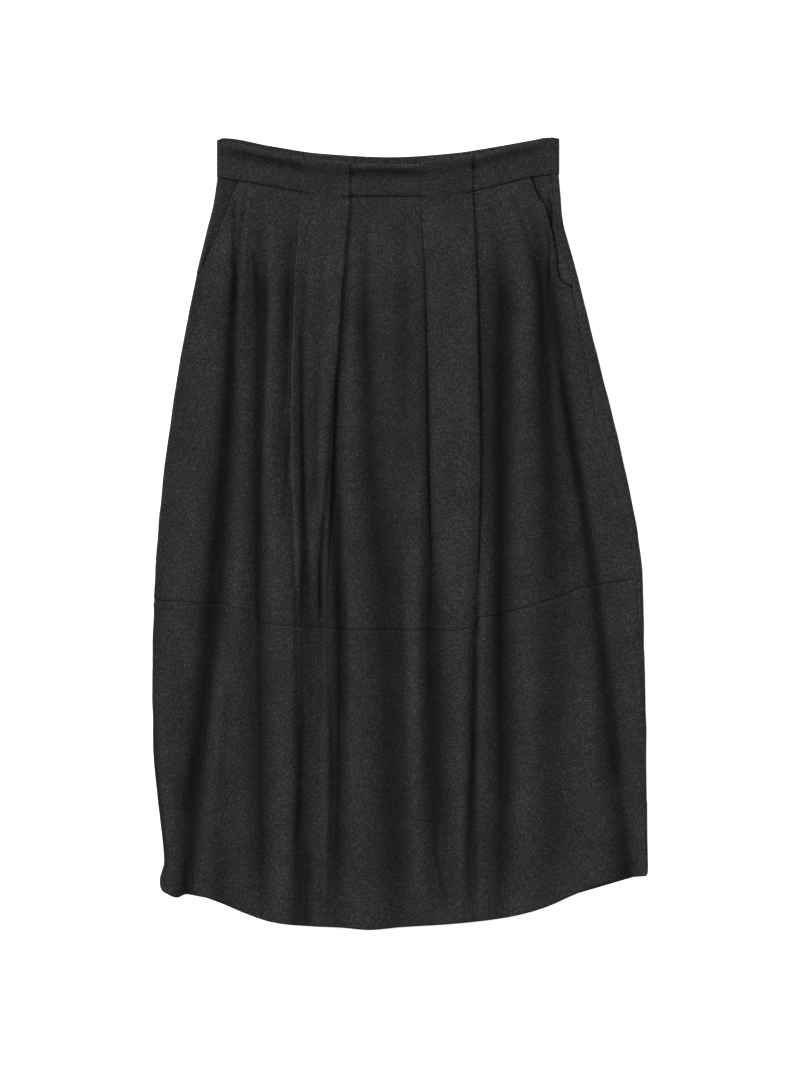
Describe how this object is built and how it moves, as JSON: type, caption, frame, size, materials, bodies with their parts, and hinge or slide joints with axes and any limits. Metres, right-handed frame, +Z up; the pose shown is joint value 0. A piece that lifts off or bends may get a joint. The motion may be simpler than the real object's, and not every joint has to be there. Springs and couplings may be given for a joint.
{
  "type": "pleated midi skirt laid flat",
  "caption": "Charcoal wool midi skirt laid flat on its back, with box pleats running up over a shaped waistband, slant pockets and a seam round the knee.",
  "frame": {"origin": "middle of the underside, on the surface that the skirt lies on", "axes": "+X across the skirt, to the right as one looks down at its front; +Y along the skirt, from the hem to the waist; +Z up, out of the surface that it lies on"},
  "size_m": [0.5204, 0.8306, 0.0137],
  "materials": {
    "wool_flannel": "matte, brushed"
  },
  "bodies": {
    "root": {"front_upper": "wool_flannel", "front_lower": "wool_flannel", "back_upper": "wool_flannel", "back_lower": "wool_flannel", "band_front_left": "wool_flannel", "band_front_centre": "wool_flannel", "band_front_right": "wool_flannel", "band_back_left": "wool_flannel", "band_back_centre": "wool_flannel", "band_back_right": "wool_flannel", "pocket_facing_left": "wool_flannel", "pocket_facing_right": "wool_flannel"}
  },
  "joints": []
}
